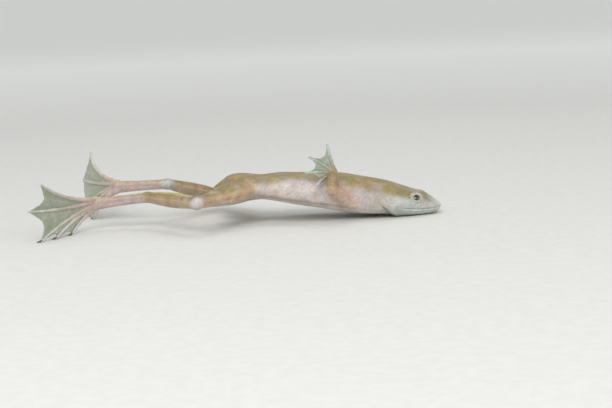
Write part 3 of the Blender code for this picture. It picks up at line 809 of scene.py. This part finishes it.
def limb_tones(limb, points):
    """A limb's colours from its top to its underside, with its tendon, streak or vein."""
    share, sideways, upward, _, half_high = limb.local(points)
    height = upward / half_high
    top, middle, low = LIMB_TONES[limb.name]
    colours = tone_along(height, (-0.9, low), (-0.2, middle), (0.25, middle), (0.85, top))
    if limb.name == "shank":
        line = window(share, 0.12, 0.9, 0.06) * smooth_step(0.80, 0.94, height)
        colours = tint(colours, TENDON_GOLD, 0.85 * line)
    if limb.name == "tarsus":
        line = window(share, 0.05, 0.8, 0.1) * bump(height - 0.02, 0.26)
        colours = tint(colours, STREAK_PINK, 0.26 * line)
    if limb.name == "forearm":
        line = window(share, 0.1, 0.9, 0.1) * bump(height - 0.35, 0.2) * (sideways > 0)
        colours = tint(colours, VEIN_PURPLE, 0.5 * line)
    return colours


def digit_tones(digit, points):
    root, middle, tip = FAN_TONES[digit.name]
    share = digit.nearest(points)[1]
    colours = tone_along(share, (0.05, root), (0.4, middle), (0.85, tip))
    # The lowest finger of each hand: its own tan mixed with painted shade towards its root, beside
    # the forearm
    if digit.name == "hand" and digit.index == 3:
        colours = tint(colours, FOURTH_FINGER_TAN_AND_SHADE, 0.75 * (1 - smooth_step(0.5, 1.0, share)))
    return colours


def skin_colours(points):
    """The colour of every point of the skin, from where it lies on the frog."""
    weight = np.exp(-np.clip(body_field(points), 0, FAR) / BODY_TONE_REACH)
    mixed = body_tones(points) * weight[:, None]
    total = weight
    for shape in SHAPES:
        near = shape.near(points)
        q = points[near]
        weight = np.exp(-np.clip(shape.distance(q), 0, FAR) / LIMB_TONE_REACH)
        tones = limb_tones(shape, q) if isinstance(shape, Limb) else digit_tones(shape, q)
        mixed[near] += tones * weight[:, None]
        total[near] += weight
    mixed /= total[:, None]
    for side, sign in SIDES.items():
        offset, reach, fade = KNEE_SPOT
        knee = points - vec(KNEES[side]) - mirrored(offset, sign)
        knee[:, 0] -= KNEE_SLANT * knee[:, 2]
        mixed = spot(mixed, knee, reach, fade, KNEE_WHITE, 0.92)
        offset, reach, fade = HEEL_SPOT
        heel = points - vec(ANKLES[side]) - mirrored(offset, sign)
        mixed = spot(mixed, heel, reach, fade, HEEL_BLUE, HEEL_STRENGTH[side])
    return mixed


def make_skin():
    low, high = vec(REGION[0]), vec(REGION[1])
    counts = np.ceil((high - low) / STEP).astype(int)
    points, quads = surface_net(field_values(low, counts), low)
    points, quads = largest_surface(points, quads)
    for _ in range(2):
        points = pull_onto_skin(relax(points, quads))
    points[:, 2] = np.maximum(points[:, 2], 0.0)
    skin = mesh_from("skin", points, quads)
    set_layer(skin, "tone", skin_colours(points))
    return skin


def closed_sheet(front, rear):
    """Points and quads of a closed sheet from two grids of points."""
    rows, columns = front.shape[:2]
    points = np.concatenate([front.reshape(-1, 3), rear.reshape(-1, 3)])
    shift = rows * columns
    grid = np.arange(shift).reshape(rows, columns)
    a, b, c, d = grid[:-1, :-1], grid[1:, :-1], grid[1:, 1:], grid[:-1, 1:]
    top = np.stack([a, b, c, d], -1).reshape(-1, 4)
    rim = np.concatenate([grid[0, :-1], grid[:-1, -1], grid[-1, :0:-1], grid[:0:-1, 0]])
    after = np.roll(rim, -1)
    edge = np.stack([rim, after, after + shift, rim + shift], 1)
    return points, np.concatenate([top, top[:, ::-1] + shift, edge])


def web_sheet(fan, index, shares, across):
    """The membrane between two digits: its two faces and how clear each point is."""
    sizes = fan.sizes
    notch = (1 - sizes["web_reach"]) * (1 - np.abs(2 * across - 1) ** sizes["web_curve"])
    reach = np.minimum(shares[:, None] * (1 - notch)[None, :], WEB_END)
    low = fan.path(index, reach)
    high = fan.path(index + 1, reach)
    middle = low + (high - low) * across[None, :, None]
    normal = np.cross(np.gradient(middle, axis=0), np.gradient(middle, axis=1))
    normal /= np.linalg.norm(normal, axis=2, keepdims=True) + 1e-9
    sway = (np.sin(math.pi * across) ** 2)[None, :]
    pleats = WEB_PLEAT_DEPTH * np.sin(across * 2 * math.pi * WEB_PLEATS + index)[None, :]
    middle = middle + normal * ((WEB_SAG + pleats) * sway * shares[:, None])[..., None]
    thick = WEB_HALF_THICK + (WEB_THINNEST - WEB_HALF_THICK) * sway
    thick = thick + WEB_HEM * smooth_step(0.93, 1.0, shares)[:, None]
    offset = normal * thick[..., None]
    clear = sway * smooth_step(0.15, 0.6, shares)[:, None]
    return middle + offset, middle - offset, clear


def circle(side, up, count):
    turns = np.arange(count) * 2 * math.pi / count
    return np.cos(turns)[:, None] * side + np.sin(turns)[:, None] * up


def joined(parts):
    """The points and faces of several meshes as those of one."""
    points, faces, count = [], [], 0
    for part_points, part_faces in parts:
        points.append(part_points)
        faces += [[count + index for index in face] for face in part_faces]
        count += len(part_points)
    return np.concatenate(points), faces


def make_web(name, fan):
    """The membranes between the digits of one hand or foot, as thin closed sheets."""
    shares = np.linspace(WEB_START, 1.0, 46)
    across = np.linspace(0.0, 1.0, 24)
    parts, all_clear = [], []
    for index in range(fan.count - 1):
        front, rear, clear = web_sheet(fan, index, shares, across)
        points, faces = closed_sheet(front, rear)
        points[:, 2] = np.maximum(points[:, 2], WEB_LOWEST)
        parts.append((points, faces))
        all_clear.append(np.tile(clear.reshape(-1), 2))
    web = mesh_from(name, *joined(parts))
    set_layer(web, "clear", np.concatenate(all_clear))
    return web


def ring_faces(rows, sides):
    """Quads between rows of rings, each with the same number of points."""
    grid = np.arange(rows * sides).reshape(rows, sides)
    after = np.roll(grid, -1, axis=1)
    return np.stack([grid[:-1], after[:-1], after[1:], grid[1:]], -1).reshape(-1, 4).tolist()


def tube(rings):
    """Points and faces through rings of equally many points, closed at both ends."""
    rows, sides = len(rings), len(rings[0])
    first = list(range(sides - 1, -1, -1))
    last = [(rows - 1) * sides + k for k in range(sides)]
    return np.concatenate(rings), [first, last] + ring_faces(rows, sides)


def make_claw(name, fan, index, rows=16, sides=18):
    """A curved horn that leaves the toe's end and tapers to a blunt point."""
    tip = vec(fan.tips[index][0]) + (0, 0, CLAW_LIFT)
    outward = tip - fan.root
    outward[2] = 0
    outward = unit(outward)
    side, up = axes_across(outward)
    ring = circle(side, up, sides)
    rings = []
    for share in np.linspace(0, 1, rows):
        centre = tip + outward * (share * (CLAW_LENGTH + CLAW_BURIED) - CLAW_BURIED)
        centre = centre - up * (CLAW_DROOP * share ** 2)
        round_end = math.sqrt(max(1 - share ** 1.6, 0.0))
        radius = CLAW_RADIUS * round_end * (1 - CLAW_NARROWING * share) + CLAW_POINT
        rings.append(centre + radius * ring)
    obj = mesh_from(name, *tube(rings))
    set_layer(obj, "along", np.repeat(np.linspace(0, 1, rows), sides))
    return obj


def make_eye(name, side, rows=44, sides=60):
    """An eyeball with a slightly raised clear front, marked by distance from its axis."""
    centre, look = mirrored(EYE_CENTRE, side), gaze(side, PUPIL_BACK)
    ring = circle(*axes_across(look), sides)
    rings, off = [], []
    for angle in math.pi * np.linspace(0.012, 0.99, rows) ** 1.25:
        radius = EYE_RADIUS * (1 + CORNEA_RISE * math.exp(-(angle / CORNEA_SPREAD) ** 4))
        rings.append(centre + radius * (math.cos(angle) * look + math.sin(angle) * ring))
        off += [math.sin(min(angle, math.pi / 2)) * EYE_RADIUS] * sides
    points, faces = tube(rings[::-1])
    obj = mesh_from(name, points, faces)
    set_layer(obj, "off_axis", off[::-1])
    return obj


def on_skin(points):
    """Points moved onto the skin and the skin's outward directions there."""
    for _ in range(4):
        points = points + way_to_skin(points)
    slope = field_slope(points)
    return points, slope / np.linalg.norm(slope, axis=1, keepdims=True)


def flank_stitches(side):
    """Centre, direction, length and shade of each stitch along one flank."""
    for begin, end, level, length in STITCH_ROWS:
        for number in range(int((end - begin) / STITCH_SPACING)):
            behind = begin + STITCH_SPACING * (number + 0.2 * math.sin(5.0 * number))
            bottom, top, half_width = body_section(behind)
            height = bottom + (level + 0.02 * math.sin(3.0 * number)) * (top - bottom)
            yield ((-behind, side * half_width, height), (0.35 * math.sin(2.0 * number), 0.0, 1.0),
                   length * (0.85 + 0.15 * math.sin(7.0 * number)), FLANK_STITCH_SHADE)


def eye_stitches(side):
    """The same for the stitches that stand round one eye."""
    across, up = axes_across(gaze(side))
    for number in range(EYE_STITCHES):
        turn = 2 * math.pi * number / EYE_STITCHES
        outward = math.cos(turn) * across + math.sin(turn) * up
        centre = (mirrored(EYE_CENTRE, side) + gaze(side) * EYE_STITCH_FORWARD
                  + outward * EYE_STITCH_RADIUS)
        dark = smooth_step(0.1, 0.9, outward @ unit((-0.5, 0.0, 1.0)))
        shade = EYE_STITCH_FAINT + (EYE_STITCH_DARK - EYE_STITCH_FAINT) * dark
        yield centre, outward, EYE_STITCH_LENGTH, shade


def stitch_mesh(centre, normal, way, length, rows=9, sides=8):
    """Points and faces of one raised dash that narrows to both ends."""
    along = unit(np.array(way) - normal * np.dot(way, normal))
    over = np.cross(normal, along)
    ring = circle(over * STITCH_HALF_WIDE, normal * STITCH_HEIGHT, sides)
    rings = []
    for share in np.linspace(-0.97, 0.97, rows):
        rings.append(centre + along * (share * length / 2) + ring * math.sqrt(1 - share ** 2))
    return tube(rings)


def make_stitches():
    """The short raised dashes of the lateral line along the flanks and round the eyes."""
    rows = [row for side in SIDES.values() for row in (*flank_stitches(side), *eye_stitches(side))]
    centres, ways, lengths, shades = zip(*rows)
    centres, normals = on_skin(vec(centres))
    points, faces = joined(map(stitch_mesh, centres, normals, ways, lengths))
    stitches = mesh_from("lateral_line", points, faces)
    shades = np.repeat(shades, len(points) // len(shades))
    set_layer(stitches, "tone", skin_colours(points) * shades[:, None])
    return stitches


# The colour sockets of a mix node, which share their names with its other sockets
MIX_FIRST, MIX_SECOND, MIX_RESULT = 6, 7, 2


class Nodes:
    """A material's node tree with short ways to add and join nodes."""

    def __init__(self, name):
        self.material = bpy.data.materials.new(name)
        self.material.use_nodes = True
        self.tree = self.material.node_tree
        self.shader = self.tree.nodes["Principled BSDF"]

    def feed(self, socket, value):
        """Joins a node's output to a socket, or sets the socket to a plain value."""
        if isinstance(value, bpy.types.NodeSocket):
            self.tree.links.new(value, socket)
        else:
            socket.default_value = (*value, 1) if socket.type == "RGBA" else value

    def add(self, kind, inputs, **settings):
        """A new node with its inputs by name or number."""
        node = self.tree.nodes.new(kind)
        for key, value in settings.items():
            setattr(node, key, value)
        for key, value in inputs.items():
            self.feed(node.inputs[key], value)
        return node

    def attribute(self, name, output="Fac"):
        return self.add("ShaderNodeAttribute", {}, attribute_name=name).outputs[output]

    def texture(self, kind, inputs, **settings):
        """A texture that is fixed to the object."""
        coordinates = self.add("ShaderNodeTexCoord", {}).outputs["Object"]
        return self.add(kind, {"Vector": coordinates, **inputs}, **settings)

    def noise(self, scale, detail, distortion=0.0):
        inputs = {"Scale": scale, "Detail": detail, "Distortion": distortion}
        return self.texture("ShaderNodeTexNoise", inputs).outputs["Fac"]

    def ramp(self, source, *stops):
        node = self.add("ShaderNodeValToRGB", {"Fac": source})
        ramp = node.color_ramp
        while len(ramp.elements) < len(stops):
            ramp.elements.new(0.5)
        for element, (position, colour) in zip(ramp.elements, stops):
            element.position = position
            element.color = (*colour, 1)
        return node.outputs["Color"]

    def mix(self, mode, amount, first, second):
        inputs = {"Factor": amount, MIX_FIRST: first, MIX_SECOND: second}
        node = self.add("ShaderNodeMix", inputs, data_type="RGBA", blend_type=mode)
        return node.outputs[MIX_RESULT]

    def math(self, operation, first, second):
        node = self.add("ShaderNodeMath", {0: first, 1: second}, operation=operation)
        return node.outputs["Value"]

    def bump(self, height, strength, distance, **before):
        inputs = {"Height": height, "Strength": strength, "Distance": distance, **before}
        return self.add("ShaderNodeBump", inputs).outputs["Normal"]

    def set(self, **values):
        for key, value in values.items():
            self.feed(self.shader.inputs[key.replace("_", " ")], value)


def grey(value):
    return (value, value, value)


def skin_material():
    m = Nodes("moist_pale_skin")
    colour = m.attribute("tone", "Color")
    for number, (scale, detail, low, high, tone, amount) in enumerate(MOTTLES):
        noise = m.noise(scale, detail, 0.3 * number)
        veil = m.ramp(noise, (low, grey(0)), (high, grey(1)))
        colour = m.mix("MIX", m.math("MULTIPLY", veil, amount), colour, tuple(linear(tone)))
    shading = m.noise(330, 6.0)
    shade = m.ramp(shading, (0.36, grey(0.80)), (0.66, grey(1.14)))
    colour = m.mix("MULTIPLY", 0.75, colour, shade)
    grains = m.texture("ShaderNodeTexVoronoi", {"Scale": 1500}).outputs["Distance"]
    speck = m.ramp(grains, (0.1, (1.14, 1.10, 1.06)), (0.65, (0.82, 0.80, 0.78)))
    fine = m.bump(grains, 0.45, 0.00015)
    m.set(Base_Color=m.mix("MULTIPLY", 0.65, colour, speck),
          Normal=m.bump(m.noise(620, 6.0), 0.5, 0.0003, Normal=fine),
          Roughness=m.math("ADD", m.math("MULTIPLY", shading, 0.3), 0.33),
          Subsurface_Weight=0.15, Subsurface_Radius=(1.0, 0.42, 0.28), Subsurface_Scale=0.0008,
          Coat_Weight=0.12, Coat_Roughness=0.25, IOR=1.35)
    return m.material


def web_material():
    m = Nodes("translucent_web")
    veins = m.noise(380, 5.0, 1.6)
    thinning = m.math("MULTIPLY", m.attribute("clear"), 0.30)
    m.set(Base_Color=m.ramp(veins, (0.42, linear(WEB_TONE)), (0.62, linear(WEB_VEIN))),
          Alpha=m.math("SUBTRACT", 0.94, thinning), Normal=m.bump(veins, 0.3, 0.00015),
          Roughness=0.32, Coat_Weight=0.3, Coat_Roughness=0.15, IOR=1.38)
    return m.material


def eye_material():
    m = Nodes("wet_eye")
    share = m.math("DIVIDE", m.attribute("off_axis"), EYE_RADIUS)
    pupil, iris = PUPIL_RADIUS / EYE_RADIUS, IRIS_RADIUS / EYE_RADIUS
    colour = m.ramp(share, (pupil * 0.9, (0.020, 0.003, 0.006)), (pupil, (0.06, 0.014, 0.012)),
                    (pupil + 0.06, (0.20, 0.075, 0.03)), (iris, (0.30, 0.20, 0.12)))
    shade = m.ramp(m.noise(3200, 3.0), (0.35, grey(0.7)), (0.65, grey(1.15)))
    m.set(Base_Color=m.mix("MULTIPLY", 0.7, colour, shade), Roughness=0.08, Coat_Weight=1.0,
          Coat_Roughness=0.03, IOR=1.4)
    return m.material


def claw_material():
    m = Nodes("dark_horn")
    colour = m.ramp(m.attribute("along"), (0.0, (0.34, 0.22, 0.19)), (0.3, (0.13, 0.06, 0.06)),
                    (1.0, (0.03, 0.015, 0.015)))
    streaks = m.noise(2500, 3.0)
    shade = m.ramp(streaks, (0.35, grey(0.8)), (0.65, grey(1.15)))
    m.set(Base_Color=m.mix("MULTIPLY", 0.7, colour, shade),
          Normal=m.bump(streaks, 0.2, 0.00005), Roughness=0.3, Coat_Weight=0.3, Coat_Roughness=0.1)
    return m.material


def floor_material():
    """A plain floor, paler towards the backdrop, where less of the lamps' light falls."""
    m = Nodes("pale_floor")
    tone = m.ramp(m.noise(300, 2.0), (0.4, (0.60, 0.60, 0.58)), (0.6, (0.62, 0.62, 0.60)))
    middle = m.texture("ShaderNodeTexGradient", {}, gradient_type="SPHERICAL")
    far = m.ramp(middle.outputs["Fac"], (0.0, grey(1.0)), (0.6, grey(0.0)))
    m.set(Base_Color=m.mix("MIX", far, tone, (0.86, 0.86, 0.84)), Roughness=0.85)
    return m.material


def dress(obj, material, slot, *nodes):
    obj.data.materials.append(material)
    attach(obj, "root")
    if nodes:
        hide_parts(*nodes)


def add_light(name, location, size, power, colour):
    light = bpy.data.lights.new(name, "AREA")
    light.size = size
    light.energy = power
    light.color = colour
    obj = new_object(name, light)
    obj.location = location
    aim = Vector(place(VIEW_CENTRE)) - Vector(location)
    obj.rotation_euler = aim.to_track_quat("-Z", "Y").to_euler()


def make_floor():
    """A pale floor that sweeps up into a backdrop on all sides."""
    profile = [(radius, 0.0) for radius in FLOOR_RADII]
    for step in range(1, SWEEP_STEPS + 1):
        turn = SWEEP_STEP * step
        profile.append((FLOOR_RADII[-1] + SWEEP_RADIUS * math.sin(turn),
                        SWEEP_RADIUS * (1 - math.cos(turn))))
    ring = circle(vec((1, 0, 0)), vec((0, 1, 0)), STAGE_SIDES)
    rings = [radius * ring + (0, 0, height) for radius, height in profile]
    faces = [list(range(STAGE_SIDES))]
    faces += [[b, a, d, c] for a, b, c, d in ring_faces(len(rings), STAGE_SIDES)]
    floor = mesh_object("floor", np.concatenate(rings), faces)
    floor.data.materials.append(floor_material())


def make_stage():
    """The floor with soft light from the world and three lamps."""
    make_floor()
    world = bpy.data.worlds.new("studio")
    bpy.context.scene.world = world
    world.use_nodes = True
    sky = world.node_tree.nodes["Background"]
    sky.inputs["Color"].default_value = (*WORLD_COLOUR, 1)
    sky.inputs["Strength"].default_value = WORLD_STRENGTH
    for light in LIGHTS:
        add_light(*light)


def make_camera():
    camera = bpy.data.cameras.new("camera")
    camera.sensor_width = SENSOR
    camera.lens = SENSOR * CAMERA_DISTANCE / (PHOTO_WIDTH_PIXELS * PHOTO_MM_PER_PIXEL)
    camera.clip_start = 0.02
    obj = new_object("camera", camera)
    ahead = Vector((0, math.cos(CAMERA_ELEVATION), -math.sin(CAMERA_ELEVATION)))
    level = Vector((1, 0, 0))
    upright = level.cross(ahead)
    right = level * math.cos(CAMERA_ROLL) - upright * math.sin(CAMERA_ROLL)
    up = level * math.sin(CAMERA_ROLL) + upright * math.cos(CAMERA_ROLL)
    matrix = Matrix((right, up, -ahead)).transposed().to_4x4()
    matrix.translation = Vector(place(VIEW_CENTRE)) - ahead * (CAMERA_DISTANCE * MM)
    obj.matrix_world = matrix
    bpy.context.scene.camera = obj


def main():
    make_camera()
    make_stage()
    bpy.context.scene.view_settings.view_transform = "Standard"
    flesh = [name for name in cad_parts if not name.startswith(("eye_", "claw_"))]
    skin = skin_material()
    dress(make_skin(), skin, "skin", *flesh)
    dress(make_stitches(), skin, "skin")
    web = web_material()
    for name, fan in FANS.items():
        dress(make_web("web_" + name, fan), web, "web_skin")
    eye = eye_material()
    for name, side in SIDES.items():
        dress(make_eye("eyeball_" + name, side), eye, "eye", "eye_" + name)
    horn = claw_material()
    for side in SIDES:
        for number, index in enumerate(CLAWED_TOES):
            toe = "%s_%d" % (side, len(CLAWED_TOES) - number)
            claw = make_claw("horn_" + toe, FANS["foot_" + side], index)
            dress(claw, horn, "claw", "claw_" + toe)


main()
